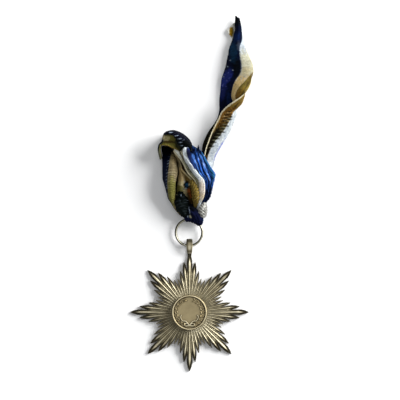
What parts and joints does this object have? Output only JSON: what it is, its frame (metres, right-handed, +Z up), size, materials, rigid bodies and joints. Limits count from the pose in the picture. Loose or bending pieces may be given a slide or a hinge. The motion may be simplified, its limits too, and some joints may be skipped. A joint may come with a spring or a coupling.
{
  "type": "order insignia with ribbon",
  "caption": "Eight-pointed star of an order with a raised wreath medallion, hung by a bail and a jump ring from a crumpled striped silk ribbon.",
  "frame": {"origin": "middle of the object's footprint, on the surface that it lies on", "axes": "+Z up from the surface, +Y from the star towards the free end of the ribbon, +X to the right of the star as its face is seen"},
  "size_m": [0.0522, 0.1504, 0.0119],
  "materials": {
    "star_metal": "antiqued gilt metal, dark in the grooves and polished on the ridges",
    "medallion_metal": "antiqued gilt metal, warm and softly polished",
    "ring_metal": "bright silvered wire",
    "ribbon_silk": "ribbed silk in blue, white and gold stripes with a slight sheen"
  },
  "bodies": {
    "root": {"star": "star_metal", "medallion": "medallion_metal", "ring": "ring_metal", "ribbon": "ribbon_silk"}
  },
  "joints": []
}
